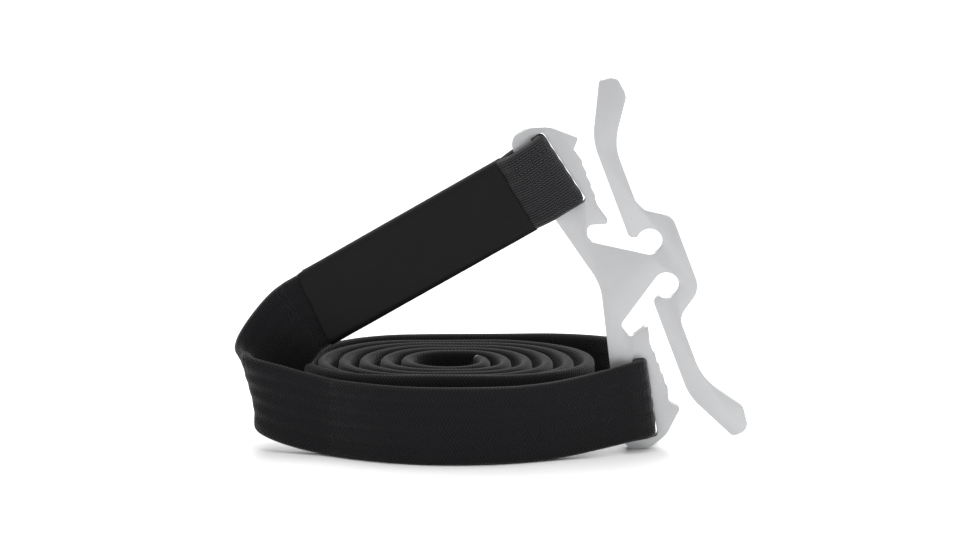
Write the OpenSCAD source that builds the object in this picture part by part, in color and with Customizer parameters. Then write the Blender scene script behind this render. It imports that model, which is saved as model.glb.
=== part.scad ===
// Elastic strap tourniquet: a flat strap of rubber strands in a woven sheath,
// held to a flat locking cleat by a sewn fold, and wound up for carrying.

/* [Strap] */
// Width of the flat strap
strap_w = 19; // [16:0.5:25]
// Thickness of the flat strap
strap_t = 2.9; // [2.2:0.1:3.4]
// Wall of the woven sheath
sheath_wall = 0.5; // [0.35:0.05:0.7]
// Number of rubber strands side by side
strand_count = 5; // [3:1:7]
// Free space round each rubber strand
strand_clear = 0.08; // [0.04:0.01:0.12]

/* [Loop] */
// Outside radius of the front band
loop_r = 52.5; // [48:0.5:63]
// Where the front band leaves its circle on the left, from the front
front_left_angle = 35; // [25:1:45]
// Where the front band leaves its circle on the right, from the front
front_right_angle = 18; // [10:1:22]
// How far the strap leans outwards at the left end
bend_lean = 20; // [10:1:25]
// Height that the strap's middle has climbed at the left end
bend_rise = 5; // [3:0.5:7]

/* [Coil] */
// Full turns of the spare strap
coil_turns = 6; // [5:1:6]
// Opening in the middle of the coil, front to back
coil_hole = 16.8; // [15:0.2:17.4]
// Middle of the coil, right of the middle of the band
coil_x = -1.5; // [-3:0.2:2]
// Space between turns where they lie together
coil_gap = 0.15; // [0.1:0.05:0.4]
// Extra space between turns at the two sides
coil_spread = 2.1; // [1:0.1:2.2]
// Front of the coil, behind the front of the band
coil_front = 9; // [8.6:0.2:12]

/* [Cleat] */
// Thickness of the cleat plate
cleat_t = 3; // [2:0.1:4]
// Lean of the cleat's long axis from upright
cleat_tilt = 20.7; // [14:0.1:24]
// Middle of the cleat, right of the middle of the band
cleat_x = 48.8; // [46:0.2:60]
// Front face of the cleat, behind the front of the band
cleat_y = 17.5; // [15:0.5:22]
// Height of each strap slot's inner end above the cleat's own middle
slot_foot = 20.3; // [19.5:0.1:24]
// Sideways place of each strap slot's middle
slot_u = -14.7; // [-15.5:0.1:-14.2]
// Lean of each strap bar against the cleat's long axis
bar_lean = 12; // [9:0.5:15]
// Width of each strap bar
bar_w = 5.4; // [4.5:0.1:6.5]
// Radius of each keyhole
keyhole_r = 3.15; // [2.4:0.05:3.4]
// Depth of the teeth along each jaw
tooth_depth = 0.3; // [0.2:0.05:0.5]
// Spacing of the teeth
tooth_pitch = 2.9; // [2:0.1:3.5]
// Swing that the strap's slack leaves the cleat, each way
cleat_swing = 6; // [4:1:9]

/* [Sleeve] */
// Length of the label sleeve
sleeve_len = 59; // [50:1:60]
// Wall of the label sleeve
sleeve_wall = 0.3; // [0.25:0.05:0.5]
// Space between the label sleeve and what it holds
sleeve_clear = 0.22; // [0.22:0.02:0.4]
// Gap from the strap bar to the label sleeve
sleeve_gap = 5.5; // [5:0.5:8]
// Angle at which the sleeve comes forward to the cleat
run_angle = 10; // [8:1:12]
// Roll of the sleeve about its own length, its upper edge backwards
run_roll = 5; // [0:1:6]
// How much flatter the sleeve lies than the strap does in the slot
run_level = 1.3; // [0:0.1:2]
// How far the folded tail stops short of the sleeve's far end
tail_short = 2.5; // [1.5:0.5:12]

/* [Hidden] */
$fn = 64;

// Strap section: sheath outside, hollow inside, strands in the hollow.
edge_r = strap_t * 0.42;
hollow_w = strap_w - 2 * sheath_wall;
hollow_t = strap_t - 2 * sheath_wall;
strand_pitch = hollow_w / strand_count;
strand_w = strand_pitch - 2 * strand_clear;
strand_t = hollow_t - 2 * strand_clear;
strand_heights = [for (i = [0 : strand_count - 1]) (i + 0.5) * strand_pitch - hollow_w / 2];

// Clearance of the strap to the bar that it wraps, from the cleat's swing.
slot_len = strap_w + 0.9;
slot_side = 0.35;
swing_gap = 0.4;
slot_w = strap_t + 2 * slot_side;
slot_v = slot_foot + slot_len / 2 * cos(bar_lean);
slot_end = slot_foot + slot_len * cos(bar_lean);
bar_clear = (bar_w / 2 + slot_len / 2 * sin(bar_lean)) * sin(cleat_swing) + swing_gap;
turn_r = bar_clear + strap_t / 2;

// Vector helpers.
function unit(v) = v / norm(v);
function square_to(w, t) = unit(w - (w * t) * t);
function mix(a, b, k) = a * (1 - k) + b * k;

// Cleat outline, upper half, as [across, along, corner radius], right edge first.
jaw_u = -8.9;
jaw_foot = 18;
tooth_count = floor((slot_end - 8 - jaw_foot) / tooth_pitch);
keyhole_u = -0.2;
keyhole_v = 5.75;
channel_slope = 33;
keyhole_edge = [keyhole_u - keyhole_r * sin(channel_slope), keyhole_v - keyhole_r * cos(channel_slope)];
function bar_edge(v) = slot_u - (slot_w / 2 + bar_w) / cos(bar_lean) - (v - slot_v) * tan(bar_lean);
horn_and_throat = [[7.1, 9.6, 5], [0, 14.3, 4.5], [0, slot_end - 8.8, 14], [6.9, slot_end + 1.2, 2.4],
    [6.2, slot_end + 6.8, 2.4], [2, slot_end + 6.9, 1.5], [-4.5, slot_end - 6.3, 14], [-4.5, 8.3, 1.6],
    [keyhole_u - 1.9, keyhole_v + 1.85, 0]];
pocket_and_jaw = [[keyhole_edge[0], keyhole_edge[1], 0], [-14.1, 11.1, 1.7], [-13, 14.9, 1.4],
    [-7.6, 13.2, 0.7], [jaw_u, jaw_foot, 0]];
teeth = [for (i = [0 : tooth_count - 1], k = [0, 1])
    [jaw_u + k * tooth_depth, jaw_foot + (i + 0.8 * (1 - k) + k) * tooth_pitch, 0]];
lobe = [[-9.6, slot_end - 6.6, 0.7], [-7.5, slot_end - 4.2, 0.6], [-13, slot_end + 0.8, 6],
    [-17.5, slot_end + 2.3, 5], [bar_edge(slot_end) + 0.4, slot_end + 1.2, 6.5], [bar_edge(20), 20, 30],
    [-15, 0, 14]];
half_outline = concat(horn_and_throat, pocket_and_jaw, teeth, lobe);
other_half = [for (i = [len(half_outline) - 2 : -1 : 0])
    [half_outline[i][0], -half_outline[i][1], half_outline[i][2]]];
cleat_outline = round_corners(concat(half_outline, other_half));

// Each corner of a closed outline as an arc of its own radius.
function corner_arc(a, b, c, r, steps = 6) =
    let (p = unit(a - b), q = unit(c - b), half = acos(max(-1, min(1, p * q))) / 2,
        reach = min(r / tan(half), norm(a - b) * 0.49, norm(c - b) * 0.49), arc_r = reach * tan(half),
        mid = b + unit(p + q) * reach / cos(half),
        from = b + p * reach - mid, to = b + q * reach - mid)
    [for (i = [0 : steps]) mid + arc_r * unit(mix(from, to, i / steps))];
function round_corners(list) = [for (i = [0 : len(list) - 1])
    let (n = len(list), b = list[i], a = list[(i + n - 1) % n], c = list[(i + 1) % n])
    each b[2] == 0 ? [[b[0], b[1]]]
        : corner_arc([a[0], a[1]], [b[0], b[1]], [c[0], c[1]], b[2])];

// The cleat stands on its lower lobe.
cleat_z = -min([for (p = cleat_outline) p[0] * sin(cleat_tilt) + p[1] * cos(cleat_tilt)]);
function on_cleat(u, v, y) = [cleat_x + u * cos(cleat_tilt) - v * sin(cleat_tilt), y,
    cleat_z + u * sin(cleat_tilt) + v * cos(cleat_tilt)];
cleat_mid_y = cleat_y + cleat_t / 2;

// Directions along the cleat and across the strap at the two slots.
upper_along = [cos(cleat_tilt + bar_lean), 0, sin(cleat_tilt + bar_lean)];
upper_across = [-sin(cleat_tilt + bar_lean), 0, cos(cleat_tilt + bar_lean)];
lower_along = [cos(cleat_tilt - bar_lean), 0, sin(cleat_tilt - bar_lean)];
lower_across = [-sin(cleat_tilt - bar_lean), 0, cos(cleat_tilt - bar_lean)];
back = [0, 1, 0];
up = [0, 0, 1];

// Stations along the strap are [point, direction, width direction].
function bezier_point(p, k) = p[0] * pow(1 - k, 3) + 3 * p[1] * k * pow(1 - k, 2)
    + 3 * p[2] * k * k * (1 - k) + p[3] * pow(k, 3);
function bezier_dir(p, k) = unit((p[1] - p[0]) * pow(1 - k, 2) + 2 * (p[2] - p[1]) * k * (1 - k)
    + (p[3] - p[2]) * k * k);
function bezier_run(p0, d0, h0, p1, d1, h1, w0, w1, steps, first = 0) =
    let (p = [p0, p0 + d0 * h0, p1 - d1 * h1, p1])
    [for (i = [first : steps]) let (k = i / steps, s = k * k * (3 - 2 * k), d = bezier_dir(p, k))
        [bezier_point(p, k), d, square_to(mix(w0, w1, s), d)]];
function corner_run(centre, along, across, from, to, steps) =
    [for (i = [0 : steps]) let (h = from + (to - from) * i / steps)
        [centre + turn_r * (sin(h) * along - cos(h) * back), cos(h) * along + sin(h) * back, across]];

// Front band: part of a circle on the floor.
band_mid_r = loop_r - strap_t / 2;
band_centre = [0, loop_r, 0];
function band_point(angle) = band_centre + [band_mid_r * sin(angle), -band_mid_r * cos(angle), strap_w / 2];

// Anchor fold round the upper bar, and the straight run through the sleeve.
layer_shift = (strap_t + 0.1) / 2;
upper_slot = on_cleat(slot_u, slot_v, cleat_mid_y);
upper_front = upper_slot - turn_r * upper_along - (cleat_t / 2) * back;
upper_back = upper_slot - turn_r * upper_along + (cleat_t / 2) * back;
run_slope = cleat_tilt + bar_lean - run_level;
run_dir = cos(run_angle) * [cos(run_slope), 0, sin(run_slope)] - sin(run_angle) * back;
level_across = [-sin(run_slope), 0, cos(run_slope)];
level_front = cross(run_dir, level_across);
run_across = cos(run_roll) * level_across - sin(run_roll) * level_front;
run_front = cross(run_dir, run_across);
bar_start = -(slot_w / 2 + bar_w);
sleeve_back = 0.8;
sleeve_end = upper_slot + (bar_start - sleeve_gap) * upper_along + sleeve_back * back;
front_layer_end = sleeve_end + layer_shift * run_front;
tail_layer_end = sleeve_end - layer_shift * run_front;
over_bar = upper_slot + (bar_start + 1) * upper_along - (cleat_t / 2 + turn_r) * back;
under_bar = upper_slot + (bar_start + 1) * upper_along + (cleat_t / 2 + turn_r) * back;
fold_pull = 2.8;
fold_path = concat(
    bezier_run(front_layer_end, run_dir, fold_pull, over_bar, upper_along, fold_pull,
        run_across, upper_across, 6),
    corner_run(upper_front, upper_along, upper_across, 0, 90, 5),
    corner_run(upper_back, upper_along, upper_across, 90, 180, 5),
    bezier_run(under_bar, -upper_along, fold_pull, tail_layer_end, -run_dir, fold_pull,
        upper_across, run_across, 6));

// Left bend: from the front band up to the start of the run.
run_len = sleeve_len + 2;
run_start = front_layer_end - run_len * run_dir;
bend_left = [-band_mid_r + 0.75, loop_r - 25, strap_w / 2 + bend_rise];
bend_dir = unit([0, 0.9, 0.43]);
bend_across = [-sin(bend_lean), 0, cos(bend_lean)];
band_left_dir = [-cos(front_left_angle), sin(front_left_angle), 0];
bend_path = concat(
    bezier_run(band_point(-front_left_angle), band_left_dir, 13, bend_left, bend_dir, 8, up, bend_across, 11),
    bezier_run(bend_left, bend_dir, 10, run_start, run_dir, 9, bend_across, run_across, 14, 1));

// Coil: half turns of growing radius joined by straight runs.
coil_pitch = strap_t + coil_gap;
half_turns = 2 * coil_turns - 1;
coil_base = coil_front + strap_t / 2 + (coil_turns - 1) * coil_pitch + (coil_hole + strap_t) / 2;
function half_r(k) = (coil_hole + strap_t) / 2 + (k - 1) * coil_pitch / 2;
function half_x(k) = min(k, half_turns - 1) * coil_spread / 2;
function half_y(k) = k % 2 == 1 ? coil_base : coil_base - coil_pitch / 2;
free_end_angle = 35;
coil_rear = half_y(half_turns) + half_r(half_turns);

// Slot turn: from the front band through the lower slot to the back of the coil.
lower_slot = on_cleat(slot_u, -slot_v, cleat_mid_y);
lower_front = lower_slot - turn_r * lower_along - (cleat_t / 2) * back;
approach_angle = 24;
approach_dir = cos(approach_angle) * lower_along + sin(approach_angle) * back;
approach_end = lower_front + turn_r * (sin(approach_angle) * lower_along - cos(approach_angle) * back);
band_right_dir = [cos(front_right_angle), sin(front_right_angle), 0];
slot_exit = lower_slot + (cleat_t / 2 + 0.5) * back;
coil_start = [coil_x + half_x(half_turns), coil_rear, strap_w / 2];
turn_path = concat(
    bezier_run(band_point(front_right_angle), band_right_dir, 10, approach_end, approach_dir, 8,
        up, lower_across, 7),
    [for (i = [1 : 4]) corner_run(lower_front, lower_along, lower_across, approach_angle, 90, 4)[i]],
    bezier_run(slot_exit, back, 26, coil_start, [-1, 0, 0], 26, lower_across, up, 14));

// The whole object is centred over its own footprint.
function path_points(path, reach) = [for (s = path, n = [-1, 1], w = [-1, 1])
    s[0] + n * reach * cross(s[1], s[2]) + w * (strap_w / 2) * s[2]];
left_edge = min([for (p = path_points(bend_path, strap_t / 2)) p[0]]);
right_edge = max([for (p = cleat_outline) on_cleat(p[0], p[1], 0)[0]]);
origin_shift = [-(left_edge + right_edge) / 2, -(coil_rear + strap_t / 2) / 2, 0];

// Flat sections, thickness along x and width along y.
module rounded_slab(t, w, r) {
    square([t, w - 2 * r], center = true);
    square([t - 2 * r, w], center = true);
    for (x = [-1, 1], y = [-1, 1])
        translate([x * (t / 2 - r), y * (w / 2 - r)])
            circle(r);
}
module sheath_section() {
    difference() {
        rounded_slab(strap_t, strap_w, edge_r);
        rounded_slab(hollow_t, hollow_w, hollow_t * 0.4);
    }
}
module strand_section() {
    for (y = strand_heights)
        translate([0, y])
            rounded_slab(strand_t, strand_w, strand_t * 0.42);
}
module strap_section(kind) {
    if (kind == "sheath")
        sheath_section();
    else
        strand_section();
}

// The same sections as rings of points for the curved stretches.
function slab_ring(t, w, r) =
    let (q = r * (1 - sqrt(0.5)), x = t / 2, y = w / 2)
    [[x, y - r], [x - q, y - q], [x - r, y], [r - x, y], [q - x, y - q], [-x, y - r],
        [-x, r - y], [q - x, q - y], [r - x, -y], [x - r, -y], [x - q, q - y], [x, r - y]];
function split_ring(t, w, r) =
    let (ring = slab_ring(t, w, r), splits = [for (i = [1 : strand_count - 1]) i * strand_pitch - hollow_w / 2])
    concat([for (i = [0 : 5]) ring[i]], [for (y = splits) [-t / 2, -y]],
        [for (i = [6 : 11]) ring[i]], [for (y = splits) [t / 2, y]]);
module swept(path, ring) {
    rings = len(path);
    sides = len(ring);
    points = [for (s = path, q = ring) s[0] + q[0] * cross(s[1], s[2]) + q[1] * s[2]];
    walls = [for (i = [0 : rings - 2], j = [0 : sides - 1])
        let (a = i * sides + j, b = i * sides + (j + 1) % sides)
        each [[a, b, b + sides], [a, b + sides, a + sides]]];
    first_cap = [for (j = [sides - 1 : -1 : 0]) j];
    last_cap = [for (j = [0 : sides - 1]) (rings - 1) * sides + j];
    polyhedron(points, concat([first_cap], walls, [last_cap]));
}
module swept_sheath(path) {
    outer = split_ring(strap_t, strap_w, edge_r);
    inner = split_ring(hollow_t, hollow_w, hollow_t * 0.4);
    sides = len(outer);
    inside = len(path) * sides;
    end = inside - sides;
    points = [for (ring = [outer, inner], s = path, q = ring) s[0] + q[0] * cross(s[1], s[2]) + q[1] * s[2]];
    walls = [for (i = [0 : len(path) - 2], j = [0 : sides - 1])
        let (a = i * sides + j, b = i * sides + (j + 1) % sides)
        each [[a, b, b + sides], [a, b + sides, a + sides]]];
    hollow = [for (face = walls) [face[2] + inside, face[1] + inside, face[0] + inside]];
    ends = [for (j = [0 : sides - 1]) let (k = (j + 1) % sides)
        each [[k, j, j + inside], [k, j + inside, k + inside],
            [end + j, end + k, end + k + inside], [end + j, end + k + inside, end + j + inside]]];
    polyhedron(points, concat(walls, hollow, ends));
}
module swept_strands(path) {
    for (y = strand_heights)
        swept(path, [for (q = slab_ring(strand_t, strand_w, strand_t * 0.42)) [q[0], q[1] + y]]);
}

// Straight stretch: the section lies across the direction from a point.
module along_run(from, length) {
    multmatrix([[run_front[0], run_across[0], run_dir[0], from[0]],
        [run_front[1], run_across[1], run_dir[1], from[1]],
        [run_front[2], run_across[2], run_dir[2], from[2]]])
        linear_extrude(length)
            children();
}

module place() {
    translate(origin_shift)
        children();
}

// Front band on the floor.
module front_band(kind) {
    place()
        translate(band_centre + [0, 0, strap_w / 2])
            rotate([0, 0, -90 - front_left_angle])
                rotate_extrude(angle = front_left_angle + front_right_angle)
                    translate([band_mid_r, 0])
                        strap_section(kind);
}

// Half turns with the straight run that leads outwards from each.
module coil(kind) {
    place()
        translate([coil_x, 0, strap_w / 2]) {
            translate([half_x(0), half_y(0)])
                rotate([0, 0, -90])
                    rotate_extrude(angle = 90 + free_end_angle)
                        translate([half_r(0), 0])
                            strap_section(kind);
            for (k = [1 : half_turns])
                coil_half(k, kind);
            for (k = [0 : half_turns])
                coil_straight(k, kind);
        }
}
module coil_half(k, kind) {
    side = k % 2 == 1 ? -1 : 1;
    translate([side * half_x(k), half_y(k)])
        rotate([0, 0, side * -90])
            rotate_extrude(angle = 180)
                translate([half_r(k), 0])
                    strap_section(kind);
}
module coil_straight(k, kind) {
    front = k % 2 == 0;
    y = front ? half_y(k) - half_r(k) : half_y(k) + half_r(k);
    left = front ? half_x(k + 1) : half_x(k);
    right = front ? half_x(k) : half_x(k + 1);
    translate([-left, y])
        rotate([90, 0, 90])
            linear_extrude(left + right)
                strap_section(kind);
}

module front_band_sheath() { color("#232324") front_band("sheath"); }
module front_band_strands() { color("#3a3430") front_band("strands"); }
module coil_sheath() { color("#232324") coil("sheath"); }
module coil_strands() { color("#3a3430") coil("strands"); }
module slot_turn_sheath() { color("#232324") place() swept_sheath(turn_path); }
module slot_turn_strands() { color("#3a3430") place() swept_strands(turn_path); }
module left_bend_sheath() { color("#232324") place() swept_sheath(bend_path); }
module left_bend_strands() { color("#3a3430") place() swept_strands(bend_path); }
module anchor_fold_sheath() { color("#232324") place() swept_sheath(fold_path); }
module anchor_fold_strands() { color("#3a3430") place() swept_strands(fold_path); }
module label_run_sheath() { color("#232324") place() along_run(run_start, run_len) sheath_section(); }
module label_run_strands() { color("#3a3430") place() along_run(run_start, run_len) strand_section(); }

// The folded tail lies behind the run, inside the sleeve.
tail_len = sleeve_len - tail_short;
tail_start = tail_layer_end - tail_len * run_dir;
seal_len = 0.8;
module tail_sheath() { color("#232324") place() along_run(tail_start, tail_len) sheath_section(); }
module tail_strands() { color("#3a3430") place() along_run(tail_start, tail_len) strand_section(); }
module tail_end_seal() {
    color("#171718")
        place()
            along_run(tail_start - seal_len * run_dir, seal_len)
                rounded_slab(strap_t, strap_w, edge_r);
}

// The cut end in the middle of the coil.
module free_end_seal() {
    color("#171718")
        place()
            translate([coil_x + half_x(0), half_y(0), strap_w / 2])
                rotate([0, 0, free_end_angle])
                    rotate_extrude(angle = seal_len / half_r(0) * 180 / PI)
                        translate([half_r(0), 0])
                            rounded_slab(strap_t, strap_w, edge_r);
}

// Shrunk sleeve round both layers.
sleeve_t = 2 * layer_shift + strap_t + 2 * sleeve_clear;
sleeve_w = strap_w + 2 * sleeve_clear;
module label_sleeve() {
    color("#262627")
        place()
            along_run(sleeve_end - sleeve_len * run_dir, sleeve_len)
                difference() {
                    rounded_slab(sleeve_t + 2 * sleeve_wall, sleeve_w + 2 * sleeve_wall, edge_r + sleeve_wall);
                    rounded_slab(sleeve_t, sleeve_w, edge_r);
                }
}

// Two bar tacks hold the tail to the run; their threads lie on the outer faces.
thread_t = 0.2;
thread_w = 0.6;
thread_len = 3.4;
tack_threads = 9;
module bar_tacks(face) {
    for (d = [6, tail_len - 9], i = [0 : tack_threads - 1])
        translate(sleeve_end - d * run_dir + face * (layer_shift + strap_t / 2 + thread_t / 2) * run_front
            + (i - (tack_threads - 1) / 2) * (hollow_w / tack_threads) * run_across)
            multmatrix([[run_front[0], run_across[0], run_dir[0], 0],
                [run_front[1], run_across[1], run_dir[1], 0],
                [run_front[2], run_across[2], run_dir[2], 0]])
                cube([thread_t, thread_w, thread_len], center = true);
}
module front_stitching() { color("#101011") place() bar_tacks(1); }
module tail_stitching() { color("#101011") place() bar_tacks(-1); }

// Flat locking cleat: two barred slots, two throats with toothed jaws, two keyholes.
module cleat_plate() {
    color("#c8c8c9")
        place()
            translate([cleat_x, cleat_y + cleat_t, cleat_z])
                rotate([0, -cleat_tilt, 0])
                    rotate([90, 0, 0])
                        difference() {
                            linear_extrude(cleat_t)
                                polygon(cleat_outline);
                            for (side = [-1, 1]) {
                                translate([keyhole_u, side * keyhole_v, -1])
                                    cylinder(h = cleat_t + 2, r = keyhole_r);
                                strap_slot(side);
                            }
                        }
}
module strap_slot(side) {
    translate([slot_u, side * slot_v, -1])
        rotate([0, 0, side * bar_lean])
            linear_extrude(cleat_t + 2)
                rounded_slab(slot_w, slot_len, 1);
}

cleat_plate();
label_sleeve();
tail_sheath();
tail_strands();
anchor_fold_sheath();
anchor_fold_strands();
label_run_sheath();
label_run_strands();
left_bend_sheath();
left_bend_strands();
front_band_sheath();
front_band_strands();
slot_turn_sheath();
slot_turn_strands();
coil_sheath();
coil_strands();
front_stitching();
tail_stitching();
tail_end_seal();
free_end_seal();
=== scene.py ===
import math
import random

import bpy
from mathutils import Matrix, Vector, noise


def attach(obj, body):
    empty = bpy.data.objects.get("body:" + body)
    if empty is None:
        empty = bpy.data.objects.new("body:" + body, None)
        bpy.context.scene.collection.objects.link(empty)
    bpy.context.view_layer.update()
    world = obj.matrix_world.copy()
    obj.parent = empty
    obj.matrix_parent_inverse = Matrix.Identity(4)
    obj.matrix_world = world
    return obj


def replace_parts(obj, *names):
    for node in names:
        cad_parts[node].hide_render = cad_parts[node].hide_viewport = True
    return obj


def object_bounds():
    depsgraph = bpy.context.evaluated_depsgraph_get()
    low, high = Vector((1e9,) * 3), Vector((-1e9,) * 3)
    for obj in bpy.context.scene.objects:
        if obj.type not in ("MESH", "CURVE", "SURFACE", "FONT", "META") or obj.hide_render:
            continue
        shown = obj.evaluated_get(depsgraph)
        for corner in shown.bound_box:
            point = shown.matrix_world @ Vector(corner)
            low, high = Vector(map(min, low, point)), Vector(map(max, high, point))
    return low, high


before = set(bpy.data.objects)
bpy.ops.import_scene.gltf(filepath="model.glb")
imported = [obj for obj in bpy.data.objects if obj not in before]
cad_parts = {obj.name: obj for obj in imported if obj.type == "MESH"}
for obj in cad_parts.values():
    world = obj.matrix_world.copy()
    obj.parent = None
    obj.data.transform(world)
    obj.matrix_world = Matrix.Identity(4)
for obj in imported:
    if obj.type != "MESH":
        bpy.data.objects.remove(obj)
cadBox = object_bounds()
bpy.ops.object.select_all(action="DESELECT")
print("frame loaded, box", cadBox)

mm = 0.001
uvUnit = 10.0  # mm of strap in one unit of its UV map
swellRow = 3.1  # row of the noise that the unevenness of the strap is read from
up = Vector((0, 0, 1))
back = Vector((0, 1, 0))

# Sizes of the strap, its route and the plate, in millimetres, as the construction model has them.
strap = {
    "width": 19.0,
    "thickness": 2.9,
    "strands": 5,
    "wall": 0.5,
    "rimRadius": 1.3,  # rounded long edges
    "rimPoints": 6,
    "facePoints": 26,
    "ribDepth": 0.13,  # dip of the cloth between two strands
    "wander": 0.09,  # how far the edges stray from straight
    "wanderTurn": (0.21, 0.1),  # radians of that stray for each mm along and across
    "pick": 0.85,  # pitch of the crosswise threads
    "swell": 0.05,  # unevenness of the faces
    "swellScale": (0.12, 0.22),
    "slotSwell": 0.5,  # how much wider the strap sits where a slot holds it
    "slotBulge": 0.24,  # and how much thicker
    "slotPress": 0.75,  # share of the ribs that the slot presses flat
    "smoothAngle": 50.0,  # degrees
}
strandPitch = (strap["width"] - 2 * strap["wall"]) / strap["strands"]
route = {
    "shift": Vector((-6.48265, -31.05, 0)),
    "plateZ": 46.1869,  # the plate stands on its lower lobe
    "loopRadius": 52.5,
    "leftAngle": 35.0,
    "rightAngle": 18.0,
    "plateTilt": 20.7,
    "plateX": 48.8,
    "plateY": 17.5,
    "plateThickness": 3.0,
    "slotFoot": 20.3,
    "slotU": -14.7,
    "barLean": 12.0,
    "barWidth": 5.4,
    "swing": 6.0,
    "swingGap": 0.4,
    "slotSide": 0.35,
    "slotExtra": 0.9,
}
# How many steps each stretch of the path is drawn in
steps = {
    "foldSide": 30,
    "foldCorner": 16,
    "run": 70,
    "tail": 60,
    "bendFront": 110,
    "bendRise": 130,
    "band": 220,
    "coilStraight": 8,
    "coilRound": 60,
    "slotApproach": 120,
    "slotCorner": 14,
    "slotToCoil": 150,
}


# Paths: a station is a point, the way along the strap and the way across it

def across(w, d):
    return (w - w.dot(d) * d).normalized()


def bezierRun(p0, d0, h0, p1, d1, h1, w0, w1, count):
    p = [p0, p0 + d0 * h0, p1 - d1 * h1, p1]
    run = []
    for i in range(count + 1):
        k = i / count
        q = 1 - k
        s = k * k * (3 - 2 * k)
        point = p[0] * q ** 3 + 3 * p[1] * k * q * q + 3 * p[2] * k * k * q + p[3] * k ** 3
        d = ((p[1] - p[0]) * q * q + 2 * (p[2] - p[1]) * k * q + (p[3] - p[2]) * k * k).normalized()
        run.append((point, d, across(w0.lerp(w1, s), d)))
    return run


def cornerRun(centre, along, width, first, last, count, radius):
    run = []
    for i in range(count + 1):
        h = math.radians(first + (last - first) * i / count)
        point = centre + radius * (math.sin(h) * along - math.cos(h) * back)
        run.append((point, math.cos(h) * along + math.sin(h) * back, width))
    return run


def arcRun(centre, radius, first, last, count):
    run = []
    for i in range(count + 1):
        a = math.radians(first + (last - first) * i / count)
        out = Vector((math.cos(a), math.sin(a), 0))
        run.append((centre + radius * out, Vector((-math.sin(a), math.cos(a), 0)), up))
    return run


def straightRun(a, b, width, count):
    d = (b - a).normalized()
    return [(a.lerp(b, i / count), d, width) for i in range(count + 1)]


def joined(*runs):
    # A run that starts where the last one ends gives up its first station
    sameSpot = 0.01
    whole = list(runs[0])
    for run in runs[1:]:
        whole += run[1:] if (run[0][0] - whole[-1][0]).length < sameSpot else run
    return whole


def plateTurn(angle):
    a = math.radians(angle)
    return Vector((math.cos(a), 0, math.sin(a))), Vector((-math.sin(a), 0, math.cos(a)))


def onPlate(u, v):
    along, climb = plateTurn(route["plateTilt"])
    return Vector((route["plateX"], 0, route["plateZ"])) + u * along + v * climb


# Where the slots, their bars and the band lie
barLean = math.radians(route["barLean"])
slotLength = strap["width"] + route["slotExtra"]
slotWidth = strap["thickness"] + 2 * route["slotSide"]
slotV = route["slotFoot"] + slotLength / 2 * math.cos(barLean)
barClear = (route["barWidth"] / 2 + slotLength / 2 * math.sin(barLean)) * math.sin(
    math.radians(route["swing"])) + route["swingGap"]
turnRadius = barClear + strap["thickness"] / 2
halfPlate = route["plateThickness"] / 2 * back
plateMid = (route["plateY"] + route["plateThickness"] / 2) * back
bandRadius = route["loopRadius"] - strap["thickness"] / 2
halfWidth = Vector((0, 0, strap["width"] / 2))
bandCentre = Vector((0, route["loopRadius"], 0)) + halfWidth


def bandPoint(angle):
    a = math.radians(angle)
    return bandCentre + bandRadius * Vector((math.sin(a), -math.cos(a), 0))


# The sleeve, and the fold of the strap round the upper bar
sleeve = {
    "length": 59.0,
    "gap": 5.5,  # from the bar to the sleeve
    "back": 0.8,  # how far behind the plate's middle it lies
    "runAngle": 10.0,  # how far the run leans to the front
    "level": 1.3,
    "roll": 5.0,
    "foldPull": 2.8,
    "tailShort": 2.5,
    "wall": 0.3,
    "clear": 0.22,
    "press": 0.3,  # how much the film presses the strap's long edges in
    "reach": 1.2,  # how far the film has crept towards the plate
    "shrunkBack": 1.9,  # how far its other end has drawn back
    "oblique": 0.1,  # and how obliquely that end is cut, along it for each mm across
    "waist": 0.32,  # how far the film draws in between the two layers
    "waistReach": 0.9,  # to each side of the middle
    "waistDepth": 0.6,  # and in from the edge
    "ripple": 0.10,
    "rippleCalm": 0.3,  # share of the ripple that is left away from the ends
    "rippleScale": (0.16, 0.35),
    "raggedEnd": 0.28,  # how uneven its cut ends are
    "raggedScale": (0.3, 9.0),
    "endReach": 3.0,  # how far in from an end it is still uneven
    "corner": 1.9,
    "cornerSteps": (8, 10, 24),  # round a corner, along a short side, along a long one
    "rings": 90,
    "rim": 0.12,
    "rimSegments": 2,
    "rimAngle": 50.0,
    "smoothAngle": 40.0,
}
barEnd = 1.0  # the fold turns over this far inside the bar's far edge
layerGap = 0.1  # between the run and the tail folded back behind it
layerShift = (strap["thickness"] + layerGap) / 2
upperAlong, upperAcross = plateTurn(route["plateTilt"] + route["barLean"])
lowerAlong, lowerAcross = plateTurn(route["plateTilt"] - route["barLean"])
upperSlot = onPlate(route["slotU"], slotV) + plateMid
lowerSlot = onPlate(route["slotU"], -slotV) + plateMid
runAngle = math.radians(sleeve["runAngle"])
runAlong, levelAcross = plateTurn(route["plateTilt"] + route["barLean"] - sleeve["level"])
runDir = math.cos(runAngle) * runAlong - math.sin(runAngle) * back
runRoll = math.radians(sleeve["roll"])
runAcross = math.cos(runRoll) * levelAcross - math.sin(runRoll) * runDir.cross(levelAcross)
runFront = runDir.cross(runAcross)
barStart = -(slotWidth / 2 + route["barWidth"])
sleeveEnd = upperSlot + (barStart - sleeve["gap"]) * upperAlong + sleeve["back"] * back
frontEnd = sleeveEnd + layerShift * runFront
tailEnd = sleeveEnd - layerShift * runFront
barReach = route["plateThickness"] / 2 + turnRadius
overBar = upperSlot + (barStart + barEnd) * upperAlong - barReach * back
underBar = upperSlot + (barStart + barEnd) * upperAlong + barReach * back
turnFront = upperSlot - turnRadius * upperAlong - halfPlate
turnBack = upperSlot - turnRadius * upperAlong + halfPlate
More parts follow.
